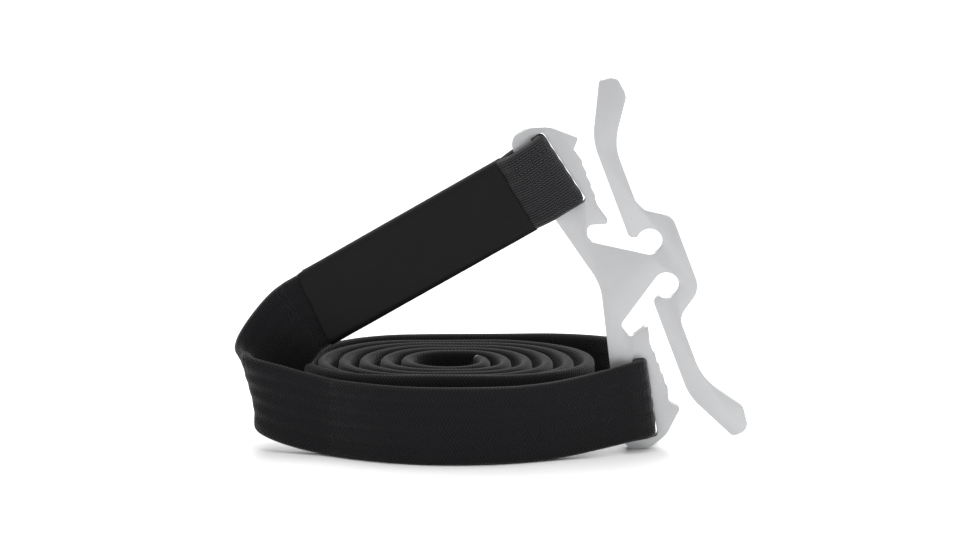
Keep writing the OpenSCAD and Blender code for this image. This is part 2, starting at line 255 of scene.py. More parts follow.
foldPath = joined(
    bezierRun(frontEnd, runDir, sleeve["foldPull"], overBar, upperAlong, sleeve["foldPull"],
              runAcross, upperAcross, steps["foldSide"]),
    cornerRun(turnFront, upperAlong, upperAcross, 0, 90, steps["foldCorner"], turnRadius),
    cornerRun(turnBack, upperAlong, upperAcross, 90, 180, steps["foldCorner"], turnRadius),
    bezierRun(underBar, -upperAlong, sleeve["foldPull"], tailEnd, -runDir, sleeve["foldPull"],
              upperAcross, runAcross, steps["foldSide"]))

# Straight run inside the sleeve, and the folded tail behind it
runBeyond = 2.0  # how far the straight run shows past the sleeve
runLength = sleeve["length"] + runBeyond
tailLength = sleeve["length"] - sleeve["tailShort"]
runStart = frontEnd - runLength * runDir
runPath = straightRun(runStart, frontEnd, runAcross, steps["run"])
tailPath = straightRun(tailEnd, tailEnd - tailLength * runDir, runAcross, steps["tail"])

# Left bend and front band
bend = {
    "left": Vector((-49.2, 21.0, 14.8)),  # where the strap is furthest left
    "climb": 8.1,  # its slope there
    "lean": 14.8,  # and how far it leans outwards there
    "pulls": (7.2, 7.2, 9.9, 4.4),  # handles of its two curves, front to rise
}
bendLeft = bend["left"]
climb = math.radians(bend["climb"])
bendDir = Vector((0, math.cos(climb), math.sin(climb)))
leanAngle = math.radians(bend["lean"])
bendAcross = Vector((-math.sin(leanAngle), 0, math.cos(leanAngle)))
leftAngle = math.radians(route["leftAngle"])
rightAngle = math.radians(route["rightAngle"])
bandLeftDir = Vector((-math.cos(leftAngle), math.sin(leftAngle), 0))
bendPath = joined(
    bezierRun(bandPoint(-route["leftAngle"]), bandLeftDir, bend["pulls"][0],
              bendLeft, bendDir, bend["pulls"][1], up, bendAcross, steps["bendFront"]),
    bezierRun(bendLeft, bendDir, bend["pulls"][2],
              runStart, runDir, bend["pulls"][3], bendAcross, runAcross, steps["bendRise"]))
bandArc = arcRun(bandCentre, bandRadius,
                 -90 + route["rightAngle"], -90 - route["leftAngle"], steps["band"])
bandPath = [(point, -d, w) for point, d, w in bandArc]

# Coil of spare strap
coil = {
    "turns": 6,
    "hole": 16.8,
    "x": -1.5,
    "gap": 0.15,
    "spread": 2.1,  # how much wider than deep each turn is
    "front": 9.0,
    "freeEnd": 35.0,  # degrees
    "seal": 0.8,
    # How far the outermost turn rides up where it comes from the slot, at stated lengths along it
    "lift": ((0, 1.0), (25, 0.8), (60, 0.3), (100, 1.2), (122, 1.2), (185, 0.0)),
}
coilPitch = strap["thickness"] + coil["gap"]
halfTurns = 2 * coil["turns"] - 1
coilBase = (coil["front"] + strap["thickness"] / 2 + (coil["turns"] - 1) * coilPitch
            + (coil["hole"] + strap["thickness"]) / 2)


def halfR(k):
    return (coil["hole"] + strap["thickness"]) / 2 + (k - 1) * coilPitch / 2


def halfX(k):
    return min(k, halfTurns - 1) * coil["spread"] / 2


def halfY(k):
    return coilBase if k % 2 == 1 else coilBase - coilPitch / 2


coilRear = halfY(halfTurns) + halfR(halfTurns)
coilMiddle = halfWidth + Vector((coil["x"], 0, 0))
coilStart = Vector((halfX(halfTurns), coilRear, 0)) + coilMiddle
coilRuns = []
for k in range(halfTurns, -1, -1):
    side = -1 if k % 2 == 1 else 1
    edge = halfY(k) - side * halfR(k)
    first = Vector((side * -halfX(k + 1), edge, 0)) + coilMiddle
    last = Vector((side * halfX(k), edge, 0)) + coilMiddle
    coilRuns.append(straightRun(first, last, up, steps["coilStraight"]))
    centre = Vector((side * halfX(k), halfY(k), 0)) + coilMiddle
    lastAngle = coil["freeEnd"] if k == 0 else -side * 90 + 180
    coilRuns.append(arcRun(centre, halfR(k), -side * 90, lastAngle, steps["coilRound"]))
flatCoil = joined(*coilRuns)


def eased(k):
    k = max(0.0, min(1.0, k))
    return k * k * (3 - 2 * k)


def liftAt(s):
    rises = coil["lift"]
    for (a, low), (b, high) in zip(rises, rises[1:]):
        if s < b:
            return low + (high - low) * eased((s - a) / (b - a))
    return rises[-1][1]


def raised(path, heightAt):
    s = 0.0
    run = []
    for i, (point, d, w) in enumerate(path):
        s += (point - path[i - 1][0]).length if i else 0.0
        run.append((point + heightAt(s) * up, d, w))
    return run


coilPath = raised(flatCoil, liftAt)

# From the front band through the lower slot to the back of the coil
turn = {
    "approach": 24.0,  # angle at which the strap comes to the plate
    "frontPulls": (10.0, 8.0),
    "backPulls": (26.0, 26.0),
    "exitRun": 0.5,
    "exitLean": 0.14,  # how far it leaves the slot to the right
    "riseFrom": 8.0,  # where it starts to rise, past the slot
    "riseShort": 20.0,  # how much shorter than the way to the coil the rise is
}
approach = math.radians(turn["approach"])
approachDir = math.cos(approach) * lowerAlong + math.sin(approach) * back
lowerFront = lowerSlot - turnRadius * lowerAlong - halfPlate
approachOut = math.sin(approach) * lowerAlong - math.cos(approach) * back
approachEnd = lowerFront + turnRadius * approachOut
bandRightDir = Vector((math.cos(rightAngle), math.sin(rightAngle), 0))
slotExit = lowerSlot + halfPlate + turn["exitRun"] * back
exitDir = Vector((turn["exitLean"], 1, 0)).normalized()
flatTurn = joined(
    bezierRun(bandPoint(route["rightAngle"]), bandRightDir, turn["frontPulls"][0],
              approachEnd, approachDir, turn["frontPulls"][1], up, lowerAcross, steps["slotApproach"]),
    cornerRun(lowerFront, lowerAlong, lowerAcross,
              turn["approach"], 90, steps["slotCorner"], turnRadius),
    bezierRun(slotExit, exitDir, turn["backPulls"][0],
              coilStart, Vector((-1, 0, 0)), turn["backPulls"][1], lowerAcross, up, steps["slotToCoil"]))


def pathLength(path):
    return sum((path[i + 1][0] - path[i][0]).length for i in range(len(path) - 1))


# The middle of the corner round the lower bar is where the strap is in the slot
turnSlotAt = pathLength(flatTurn[:steps["slotApproach"] + steps["slotCorner"] // 2 + 1])
riseLength = pathLength(flatTurn) - turnSlotAt - turn["riseShort"]
riseStart = turnSlotAt + turn["riseFrom"]
turnPath = raised(flatTurn, lambda s: liftAt(0) * eased((s - riseStart) / riseLength))

stretches = {
    "tail": tailPath, "fold": foldPath, "run": runPath, "bend": bendPath, "band": bandPath,
    "turn": turnPath, "coil": coilPath,
}
print("strap length in mm", {name: round(pathLength(path), 1) for name, path in stretches.items()})


# Nodes and colours

def linearColour(code):
    parts = [int(code[i:i + 2], 16) / 255 for i in (1, 3, 5)]
    return tuple(c / 12.92 if c <= 0.04045 else ((c + 0.055) / 1.055) ** 2.4 for c in parts) + (1.0,)


def addNode(tree, kind, settings=None, links=None):
    made = tree.nodes.new(kind)
    for name, value in (settings or {}).items():
        if isinstance(name, int) or name in made.inputs:
            made.inputs[name].default_value = value
        else:
            setattr(made, name, value)
    for name, source in (links or {}).items():
        tree.links.new(source, made.inputs[name])
    return made


def newMaterial(name):
    made = bpy.data.materials.new(name)
    made.use_nodes = True
    made.node_tree.nodes.clear()
    return made, made.node_tree


def twoTone(tree, factor, dark, light):
    ramp = addNode(tree, "ShaderNodeValToRGB", links={"Fac": factor})
    ramp.color_ramp.elements[0].color = linearColour(dark)
    ramp.color_ramp.elements[1].color = linearColour(light)
    return ramp.outputs["Color"]


def wovenCloth(name, dark, light):
    # Braided polyester sheath, black: crosswise picks that zigzag a little over each strand,
    # fine lengthwise ends between them, painted paler where they stand up and darker in the dips
    # (painted highlight and shade on the weave), and some lint.
    made, tree = newMaterial(name)
    weave = {
        "pick": strap["pick"],  # pitches and sizes in mm
        "end": 0.62,
        "rib": 3.6,
        "straySize": 3.3333,
        "fuzzSize": 0.2381,
        "lintSize": 1.1111,
        "patchSize": 12.5,
        "relief": 0.13,
        "zigzag": (0.09, 2.85),  # slant of the picks where it lies free, and what a full pull adds
        "stray": 0.05,
        "ends": 0.55,  # height of the ends and of the fuzz, with the picks as 1
        "fuzz": 1.1,
        "mottle": 0.25,
    }
    place = addNode(tree, "ShaderNodeUVMap", {"uv_map": "strapUv"})
    parts = addNode(tree, "ShaderNodeSeparateXYZ", links={0: place.outputs[0]})
    pucker = addNode(tree, "ShaderNodeAttribute", {"attribute_name": "pucker"})
    strayTexture = addNode(tree, "ShaderNodeTexNoise", {
        "Scale": uvUnit / weave["straySize"], "Detail": 3.0}, {"Vector": place.outputs[0]})
    zig = addNode(tree, "ShaderNodeMath", {"operation": "PINGPONG", 1: weave["rib"] / uvUnit / 2},
                  {0: parts.outputs[1]})
    freeSlant, pulledSlant = weave["zigzag"]
    zigReach = addNode(tree, "ShaderNodeMath", {
        "operation": "MULTIPLY_ADD", 1: pulledSlant, 2: freeSlant}, {0: pucker.outputs["Fac"]})
    zigTurn = addNode(tree, "ShaderNodeMath", {"operation": "MULTIPLY"},
                      {0: zig.outputs[0], 1: zigReach.outputs[0]})
    alongStray = addNode(tree, "ShaderNodeMath", {"operation": "MULTIPLY_ADD", 1: weave["stray"]},
                         {0: strayTexture.outputs[0], 2: parts.outputs[0]})
    alongZig = addNode(tree, "ShaderNodeMath", {"operation": "ADD"},
                       {0: alongStray.outputs[0], 1: zigTurn.outputs[0]})
    turnsAlong, turnsAcross = [2 * math.pi * uvUnit / weave[pitch] for pitch in ("pick", "end")]
    pickTurn = addNode(tree, "ShaderNodeMath", {"operation": "MULTIPLY", 1: turnsAlong},
                       {0: alongZig.outputs[0]})
    pick = addNode(tree, "ShaderNodeMath", {"operation": "SINE"}, {0: pickTurn.outputs[0]})
    endTurn = addNode(tree, "ShaderNodeMath", {"operation": "MULTIPLY", 1: turnsAcross},
                      {0: parts.outputs[1]})
    end = addNode(tree, "ShaderNodeMath", {"operation": "SINE"}, {0: endTurn.outputs[0]})
    crossing = addNode(tree, "ShaderNodeMath", {"operation": "MULTIPLY"},
                       {0: pick.outputs[0], 1: end.outputs[0]})
    relief = addNode(tree, "ShaderNodeMath", {"operation": "MULTIPLY_ADD", 1: weave["ends"]},
                     {0: crossing.outputs[0], 2: pick.outputs[0]})
    fuzz = addNode(tree, "ShaderNodeTexNoise", {
        "Scale": uvUnit / weave["fuzzSize"], "Detail": 4.0, "Roughness": 0.7},
        {"Vector": place.outputs[0]})
    height = addNode(tree, "ShaderNodeMath", {"operation": "MULTIPLY_ADD", 1: weave["fuzz"]},
                     {0: fuzz.outputs[0], 2: relief.outputs[0]})
    bump = addNode(tree, "ShaderNodeBump", {"Strength": 0.55, "Distance": weave["relief"] * mm},
                   {"Height": height.outputs[0]})
    # Painted light: the colour follows the weave's height, paler on its crests and darker in its dips;
    # the large patches added next are random tone
    paintedCrestLight = addNode(tree, "ShaderNodeMapRange", {"From Min": -1.6, "From Max": 2.6},
                   {"Value": height.outputs[0]})
    patches = addNode(tree, "ShaderNodeTexNoise", {
        "Scale": uvUnit / weave["patchSize"], "Detail": 2.0}, {"Vector": place.outputs[0]})
    toned = addNode(tree, "ShaderNodeMath", {
        "operation": "MULTIPLY_ADD", 1: weave["mottle"], "use_clamp": True},
        {0: patches.outputs[0], 2: paintedCrestLight.outputs[0]})
    cloth = twoTone(tree, toned.outputs[0], dark, light)
    lintSpots = addNode(tree, "ShaderNodeTexNoise", {
        "Scale": uvUnit / weave["lintSize"], "Detail": 6.0, "Roughness": 0.8},
        {"Vector": place.outputs[0]})
    lint = addNode(tree, "ShaderNodeMapRange", {"From Min": 0.70, "From Max": 0.80, "To Max": 0.35},
                   {"Value": lintSpots.outputs[0]})
    # Painted highlight: where the strap is pulled tight the crests of the picks are painted pale grey as
    # slanting strokes
    paintedCrestGlint = addNode(tree, "ShaderNodeMapRange", {"From Min": 0.8, "From Max": 2.2, "To Max": 0.9},
                     {"Value": height.outputs[0]})
    drawn = addNode(tree, "ShaderNodeMapRange", {"From Min": 0.5, "From Max": 1.0},
                    {"Value": pucker.outputs["Fac"]})
    paintedHighlightStrokes = addNode(tree, "ShaderNodeMath", {"operation": "MULTIPLY"},
                      {0: paintedCrestGlint.outputs[0], 1: drawn.outputs[0]})
    clothWithPaintedHighlight = addNode(tree, "ShaderNodeMix", {"data_type": "RGBA", 7: linearColour("#68686a")},
                     {0: paintedHighlightStrokes.outputs[0], 6: cloth})
    coloured = addNode(tree, "ShaderNodeMix", {"data_type": "RGBA", 7: linearColour("#76707a")},
                       {0: lint.outputs[0], 6: clothWithPaintedHighlight.outputs[2]})
    shader = addNode(tree, "ShaderNodeBsdfPrincipled", {
        "Roughness": 0.85, "Sheen Weight": 0.22, "Sheen Roughness": 0.35, "Specular IOR Level": 0.12},
        {"Base Color": coloured.outputs[2], "Normal": bump.outputs[0]})
    addNode(tree, "ShaderNodeOutputMaterial", links={"Surface": shader.outputs[0]})
    return made


def tumbledAluminium(name):
    # Aluminium plate, cut and then tumbled: a flat pale grey that spreads its highlights,
    # with a fine grain and faint cloudy patches.
    made, tree = newMaterial(name)
    # Grain, patches and relief in mm, and the grain's share of the tone
    grain = {"fine": 0.35, "cloud": 12.0, "relief": 0.06, "share": 0.35}
    place = addNode(tree, "ShaderNodeTexCoord")
    fine = addNode(tree, "ShaderNodeTexNoise", {
        "Scale": 1 / (grain["fine"] * mm), "Detail": 4.0, "Roughness": 0.65},
        {"Vector": place.outputs["Object"]})
    cloud = addNode(tree, "ShaderNodeTexNoise", {"Scale": 1 / (grain["cloud"] * mm), "Detail": 3.0},
                    {"Vector": place.outputs["Object"]})
    bump = addNode(tree, "ShaderNodeBump", {"Strength": 0.4, "Distance": grain["relief"] * mm},
                   {"Height": fine.outputs[0]})
    mixed = addNode(tree, "ShaderNodeMath", {"operation": "MULTIPLY", 1: grain["share"]},
                    {0: fine.outputs[0]})
    summed = addNode(tree, "ShaderNodeMath", {"operation": "MULTIPLY_ADD", 1: 1 - grain["share"]},
                     {0: cloud.outputs[0], 2: mixed.outputs[0]})
    colour = twoTone(tree, summed.outputs[0], "#b0b1b3", "#cfcfd0")
    rough = addNode(tree, "ShaderNodeMapRange", {
        "From Min": 0.3, "From Max": 0.7, "To Min": 0.46, "To Max": 0.6}, {"Value": cloud.outputs[0]})
    shader = addNode(tree, "ShaderNodeBsdfPrincipled", {"Metallic": 1.0},
                     {"Base Color": colour, "Roughness": rough.outputs[0], "Normal": bump.outputs[0]})
    addNode(tree, "ShaderNodeOutputMaterial", links={"Surface": shader.outputs[0]})
    return made


def sleeveFilm(name):
    # Heat-shrunk polyolefin film: smooth charcoal with a soft, broken gloss and a faint leathery grain.
    made, tree = newMaterial(name)
    film = {"grain": 0.8, "drawn": 9.0, "relief": 0.04}  # mm
    place = addNode(tree, "ShaderNodeTexCoord")
    grain = addNode(tree, "ShaderNodeTexNoise", {
        "Scale": 1 / (film["grain"] * mm), "Detail": 5.0, "Roughness": 0.6},
        {"Vector": place.outputs["Object"]})
    drawn = addNode(tree, "ShaderNodeTexNoise", {"Scale": 1 / (film["drawn"] * mm), "Detail": 2.0},
                    {"Vector": place.outputs["Object"]})
    colour = twoTone(tree, drawn.outputs[0], "#0f0f10", "#151516")
    bump = addNode(tree, "ShaderNodeBump", {"Strength": 0.15, "Distance": film["relief"] * mm},
                   {"Height": grain.outputs[0]})
    rough = addNode(tree, "ShaderNodeMapRange", {
        "From Min": 0.3, "From Max": 0.7, "To Min": 0.5, "To Max": 0.62}, {"Value": drawn.outputs[0]})
    shader = addNode(tree, "ShaderNodeBsdfPrincipled", {"IOR": 1.5, "Specular IOR Level": 0.14},
                     {"Base Color": colour, "Roughness": rough.outputs[0], "Normal": bump.outputs[0]})
    addNode(tree, "ShaderNodeOutputMaterial", links={"Surface": shader.outputs[0]})
    return made


def plainGrain(name, dark, light, size, roughness, relief):
    # Small pieces: a mottled colour and a grain of a stated size and depth in mm.
    made, tree = newMaterial(name)
    place = addNode(tree, "ShaderNodeTexCoord")
    grain = addNode(tree, "ShaderNodeTexNoise", {
        "Scale": 1 / (size * mm), "Detail": 4.0, "Roughness": 0.6}, {"Vector": place.outputs["Object"]})
    bump = addNode(tree, "ShaderNodeBump", {"Strength": 0.4, "Distance": relief * mm},
                   {"Height": grain.outputs[0]})
    colour = twoTone(tree, grain.outputs[0], dark, light)
    shader = addNode(tree, "ShaderNodeBsdfPrincipled", {"Roughness": roughness},
                     {"Base Color": colour, "Normal": bump.outputs[0]})
    addNode(tree, "ShaderNodeOutputMaterial", links={"Surface": shader.outputs[0]})
    return made


clothMaterial = wovenCloth("braidedPolyester", "#08080a", "#1e1e20")
plateMaterial = tumbledAluminium("tumbledAluminium")
filmMaterial = sleeveFilm("shrunkPolyolefin")
latexMaterial = plainGrain("naturalLatex", "#6d6152", "#857868", 0.9, 0.7, 0.03)
threadMaterial = plainGrain("bondedNylonThread", "#0f0f10", "#232325", 0.2, 0.6, 0.04)
fusedMaterial = plainGrain("meltedPolyester", "#0e0e0f", "#2a2a2b", 0.5, 0.4, 0.08)
print("materials made")


# Swept pieces: a grid whose rows become rings along a path and whose columns go round the section

def addGrid(rows, columns):
    bpy.ops.mesh.primitive_grid_add(x_subdivisions=rows, y_subdivisions=columns, size=1)
    return bpy.context.active_object


def cellOf(vertex, rows, columns):
    return round((vertex.co.x + 0.5) * rows), round((vertex.co.y + 0.5) * columns)


# The four corners of a section: their sides, and the angle each one starts at
quarters = ((1, 1, 0), (-1, 1, 90), (-1, -1, 180), (1, -1, 270))


def closeTube(withEnds=True):
    mergeAt = 1e-6
    bpy.ops.object.mode_set(mode="EDIT")
    bpy.ops.mesh.select_all(action="SELECT")
    bpy.ops.mesh.remove_doubles(threshold=mergeAt)
    if withEnds:
        bpy.ops.mesh.fill_holes(sides=0)
    bpy.ops.mesh.normals_make_consistent(inside=False)
    bpy.ops.object.mode_set(mode="OBJECT")


# The strap's sheath

def sectionLoop(width, thickness, ribDepth):
    # Closed section, thickness then width: two ribbed faces and two round long edges.
    reach = width / 2 - strap["rimRadius"]
    loop = []
    faces, rims = strap["facePoints"], strap["rimPoints"]
    for side in (1, -1):
        for i in range(faces):
            y = side * (-reach + 2 * reach * i / (faces - 1))
            dip = ribDepth * (0.5 - 0.5 * math.cos(2 * math.pi * y / strandPitch))
            loop.append((side * (thickness / 2 - dip), y))
        for i in range(1, rims + 1):
            a = math.pi * i / (rims + 1)
            loop.append((side * thickness / 2 * math.cos(a) * (1 - ribDepth / thickness),
                         side * (reach + strap["rimRadius"] * math.sin(a))))
    return loop


def stretchRing(station, s, full, pull, look):
    point, d, w = station
    out = d.cross(w)
    depth = strap["ribDepth"] + (look["slotRib"] - strap["ribDepth"]) * min(1, pull)
    depth *= 1 - strap["slotPress"] * full
    loop = sectionLoop(strap["width"] + strap["slotSwell"] * full,
                       strap["thickness"] + strap["slotBulge"] * full, depth)
    turnAlong, turnAcross = strap["wanderTurn"]
    scaleAlong, scaleAcross = strap["swellScale"]
    ring = []
    for x, y in loop:
        face = x / strap["thickness"] * 2
        stray = strap["wander"] * math.sin(s * turnAlong + y * turnAcross) * y / strap["width"]
        pick = look["pickDepth"] * math.sin(2 * math.pi * s / strap["pick"]) * face
        swell = strap["swell"] * noise.noise(Vector((s * scaleAlong, y * scaleAcross, swellRow))) * face
        ring.append((point + route["shift"] + out * (x + pick + swell) + w * (y + stray)) * mm)
    girth = [0.0]
    for j, a in enumerate(loop):
        b = loop[(j + 1) % len(loop)]
        girth.append(girth[-1] + math.hypot(b[0] - a[0], b[1] - a[1]))
    return ring, girth


def makeStretch(name, path, startAt, look):
    rows, count = len(path) - 1, 2 * (strap["facePoints"] + strap["rimPoints"])
    piece = addGrid(rows, count)
    piece.name = piece.data.name = name
    distance = [0.0]
    for i in range(rows):
        distance.append(distance[-1] + (path[i + 1][0] - path[i][0]).length)
    pulls = [look["pucker"](s, distance[-1]) for s in distance]
    rings, girths = [], []
    for station, s, pull in zip(path, distance, pulls):
        full = look["fullness"](s, distance[-1])  # 0 where it lies free, 1 in a slot
        ring, girth = stretchRing(station, startAt + s, full, pull, look)
        rings.append(ring)
        girths.append(girth)
    mesh = piece.data
    mesh.uv_layers[0].name = "strapUv"
    pucker = mesh.attributes.new("pucker", "FLOAT", "POINT")
    cells = [cellOf(vertex, rows, count) for vertex in mesh.vertices]
    for vertex, (i, j) in zip(mesh.vertices, cells):
        vertex.co = rings[i][j % count]
        pucker.data[vertex.index].value = pulls[i]
    layer = mesh.uv_layers["strapUv"].data
    for corner in mesh.loops:
        i, j = cells[corner.vertex_index]
        layer[corner.index].uv = ((startAt + distance[i]) / uvUnit, girths[i][j] / uvUnit)
    closeTube()
    bpy.ops.object.shade_smooth_by_angle(angle=math.radians(strap["smoothAngle"]))
    piece.data.materials.append(clothMaterial)
    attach(piece, "strap")
    piece.select_set(False)
    return piece


def easedBump(s, middle, reach):
    return eased(1 - abs(s - middle) / reach)


# For each stretch: how deep its picks and its ribs show, how far a slot fills the strap out
# (fullness) and how hard its cloth is pulled (pucker) at a length s along it
# The pucker also sets where the cloth gets its painted highlight strokes
foldMiddle = pathLength(foldPath) / 2
sheathPieces = {
    "tailSheath": {
        "path": tailPath, "node": "tail_sheath", "pickDepth": 0.0, "slotRib": 0.13,
        "fullness": lambda s, total: 0.0, "pucker": lambda s, total: 0.3},
    "foldSheath": {
        "path": foldPath, "node": "anchor_fold_sheath", "pickDepth": 0.05, "slotRib": 0.18,
        "fullness": lambda s, total: easedBump(s, foldMiddle, 6), "pucker": lambda s, total: 1.0},
    "runSheath": {
        "path": runPath, "node": "label_run_sheath", "pickDepth": 0.0, "slotRib": 0.13,
        "fullness": lambda s, total: 0.0, "pucker": lambda s, total: 0.3},
    "leftBendSheath": {
        "path": bendPath, "node": "left_bend_sheath", "pickDepth": 0.035, "slotRib": 0.2,
        "fullness": lambda s, total: 0.0, "pucker": lambda s, total: 0.25 + 0.3 * s / total},
    "frontBandSheath": {
        "path": bandPath, "node": "front_band_sheath", "pickDepth": 0.03, "slotRib": 0.2,
        "fullness": lambda s, total: 0.0, "pucker": lambda s, total: 0.2},
    "slotTurnSheath": {
        "path": turnPath, "node": "slot_turn_sheath", "pickDepth": 0.03, "slotRib": 0.22,
        "fullness": lambda s, total: 0.8 * easedBump(s, turnSlotAt, 6),
        "pucker": lambda s, total: 0.2 + 0.4 * easedBump(s, turnSlotAt, 14)},
    "coilSheath": {
        "path": coilPath, "node": "coil_sheath", "pickDepth": 0.0, "slotRib": 0.16,
        "fullness": lambda s, total: 0.0, "pucker": lambda s, total: 0.2},
}
startAt = 0.0
for name, look in sheathPieces.items():
    piece = makeStretch(name, look["path"], startAt, look)
    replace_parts(piece, look["node"])
    startAt += pathLength(look["path"])
    print("sheath", name, len(piece.data.polygons), "faces")


# The rubber strands of the stretches that lie a little off the construction model
strand = {
    "clear": 0.08,
    "corner": 0.84,  # share of the half thickness that its rounded corners take
    "every": 3,  # one ring for so many of the sheath's
}


def strandLoop():
    halfT = strap["thickness"] / 2 - strap["wall"] - strand["clear"]
    halfW = strandPitch / 2 - strand["clear"]
    corner = halfT * strand["corner"]
    loop = []
    for sideX, sideY, first in quarters:
        for step in (0, 45, 90):
            a = math.radians(first + step)
            loop.append((sideX * (halfT - corner) + corner * math.cos(a),
                         sideY * (halfW - corner) + corner * math.sin(a)))
    return loop


def makeStrands(name, path):
    stations = path[:-1:strand["every"]] + [path[-1]]
    loop = strandLoop()
    rows, count = len(stations) - 1, len(loop)
    pieces = []
    for n in range(strap["strands"]):
        offset = (n - (strap["strands"] - 1) / 2) * strandPitch
        piece = addGrid(rows, count)
        for vertex in piece.data.vertices:
            i, j = cellOf(vertex, rows, count)
            point, d, w = stations[i]
            x, y = loop[j % count]
            vertex.co = (point + route["shift"] + d.cross(w) * x + w * (y + offset)) * mm
        closeTube()
        pieces.append(piece)
    for piece in pieces:
        piece.select_set(True)
    bpy.ops.object.join()
    whole = bpy.context.active_object
    whole.name = whole.data.name = name
    bpy.ops.object.shade_smooth_by_angle(angle=math.radians(strap["smoothAngle"]))
    whole.data.materials.append(latexMaterial)
    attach(whole, "strap")
    whole.select_set(False)
    return whole


sweptStrands = {
    "coilStrands": (coilPath, "coil_strands"),
    "slotTurnStrands": (turnPath, "slot_turn_strands"),
    "leftBendStrands": (bendPath, "left_bend_strands"),
}
for name, (path, node) in sweptStrands.items():
    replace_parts(makeStrands(name, path), node)
print("strands made")


# The cut end in the middle of the coil: a melted bead with yarn ends standing out of it

cutEnd = {
    "rings": 6,
    "shrink": 0.32,  # how much thinner and how much narrower the bead ends
    "narrow": 0.015,
    "ragged": 0.22,
    "raggedScale": (1.4, 2.0, 0.7),
    "smoothAngle": 40.0,
    "seed": 7,
}
yarnEnds = {
    "count": 46,
    "radius": 0.07,
    "length": (0.8, 3.4),
    "edgeLength": 0.7,  # share of that length near the strap's edges
    "edge": 7.0,
    "spread": 0.47,  # places, as shares of the strap's width and thickness
    "layer": (0.25, 0.42),
    "fan": (0.45, 0.35),  # how far the yarns point apart, out of the strap and across it
    "curl": (0.8, 0.5),
    "bow": 0.35,
    "root": 0.4,
    "taper": 0.45,
}


def makeBead(path):
    rows, count = cutEnd["rings"], 2 * (strap["facePoints"] + strap["rimPoints"])
    bead = addGrid(rows, count)
    bead.name = bead.data.name = "cutEndBead"
    loop = sectionLoop(strap["width"], strap["thickness"], strap["ribDepth"])
    scaleAcross, scaleOut, scaleAlong = cutEnd["raggedScale"]
    for vertex in bead.data.vertices:
        i, j = cellOf(vertex, rows, count)
        point, d, w = path[i]
        x, y = loop[j % count]
        k = i / rows
        shrink = 1 - cutEnd["shrink"] * k ** 2
        grain = Vector((y * scaleAcross, x * scaleOut, i * scaleAlong))
        ragged = cutEnd["ragged"] * k * noise.noise(grain)
        width = 1 - cutEnd["narrow"] * (1 - shrink)
        vertex.co = (point + route["shift"] + d.cross(w) * x * shrink + w * y * width + d * ragged) * mm
    closeTube()
    bpy.ops.object.shade_smooth_by_angle(angle=math.radians(cutEnd["smoothAngle"]))
    bead.data.materials.append(fusedMaterial)
    bead.data.materials.append(threadMaterial)
    bead.select_set(False)
    return bead


def makeYarn(station, draw):
    point, d, w = station
    out = d.cross(w)
    y = draw.uniform(-yarnEnds["spread"], yarnEnds["spread"]) * strap["width"]
    x = draw.choice((-1, 1)) * draw.uniform(*yarnEnds["layer"]) * strap["thickness"]
    length = draw.uniform(*yarnEnds["length"])
    if abs(y) >= yarnEnds["edge"]:
        length *= yarnEnds["edgeLength"]
    fanOut, fanAcross = yarnEnds["fan"]
    aim = d + out * draw.uniform(-fanOut, fanOut) + w * draw.uniform(-fanAcross, fanAcross)
    aim.normalize()
    curlOut, curlAcross = yarnEnds["curl"]
    curl = out * draw.uniform(-curlOut, curlOut) + w * draw.uniform(-curlAcross, curlAcross)
    start = point + out * x + w * y - d * yarnEnds["root"] + route["shift"]
    bpy.ops.mesh.primitive_cylinder_add(vertices=5, radius=yarnEnds["radius"] * mm, depth=length * mm)
    yarn = bpy.context.active_object
    bpy.ops.object.mode_set(mode="EDIT")
    bpy.ops.mesh.select_all(action="SELECT")
    bpy.ops.mesh.subdivide(number_cuts=2)
    bpy.ops.object.mode_set(mode="OBJECT")
    upright = 0.9
    side = aim.cross(up if abs(aim.z) < upright else back).normalized()
    rise = aim.cross(side).normalized()
    for vertex in yarn.data.vertices:
        k = vertex.co.z / (length * mm) + 0.5
        thin = 1 - yarnEnds["taper"] * k
        spot = start + aim * (k * length) + curl * (k * k * length * yarnEnds["bow"])
        vertex.co = spot * mm + (side * vertex.co.x + rise * vertex.co.y) * thin
    yarn.data.materials.append(fusedMaterial)
    yarn.data.materials.append(threadMaterial)
    for face in yarn.data.polygons:
        face.material_index = 1
    yarn.select_set(False)
    return yarn


def makeCutEnd():
    centre = Vector((halfX(0), halfY(0), 0)) + coilMiddle
    span = math.degrees(coil["seal"] / halfR(0))
    path = arcRun(centre, halfR(0), coil["freeEnd"], coil["freeEnd"] + span, cutEnd["rings"])
    bead = makeBead(path)
    draw = random.Random(cutEnd["seed"])
    yarns = [makeYarn(path[-1], draw) for _ in range(yarnEnds["count"])]
    for piece in yarns + [bead]:
        piece.select_set(True)
    bpy.context.view_layer.objects.active = bead
    bpy.ops.object.join()
    bpy.ops.object.mode_set(mode="EDIT")
    bpy.ops.mesh.select_all(action="SELECT")
    bpy.ops.mesh.normals_make_consistent(inside=False)
    bpy.ops.object.mode_set(mode="OBJECT")
    bead.select_set(False)
    return bead


cutEndBead = makeCutEnd()
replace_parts(cutEndBead, "free_end_seal")
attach(cutEndBead, "strap")
print("cut end made")


# The shrunk sleeve

def roundedOutline(halfT, halfW, corner, cornerSteps, shortSteps, longSteps):
    arcs = []
    for sideX, sideY, first in quarters:
        angles = [math.radians(first + 90 * i / cornerSteps) for i in range(cornerSteps + 1)]
        arcs.append([(sideX * (halfT - corner) + corner * math.cos(a),
                      sideY * (halfW - corner) + corner * math.sin(a)) for a in angles])
    outline = []
    for n, arc in enumerate(arcs):
        (ax, ay), (bx, by) = arc[-1], arcs[(n + 1) % 4][0]
        count = shortSteps if n % 2 == 0 else longSteps
        outline += arc
        outline += [(ax + (bx - ax) * i / count, ay + (by - ay) * i / count) for i in range(1, count)]
    return outline


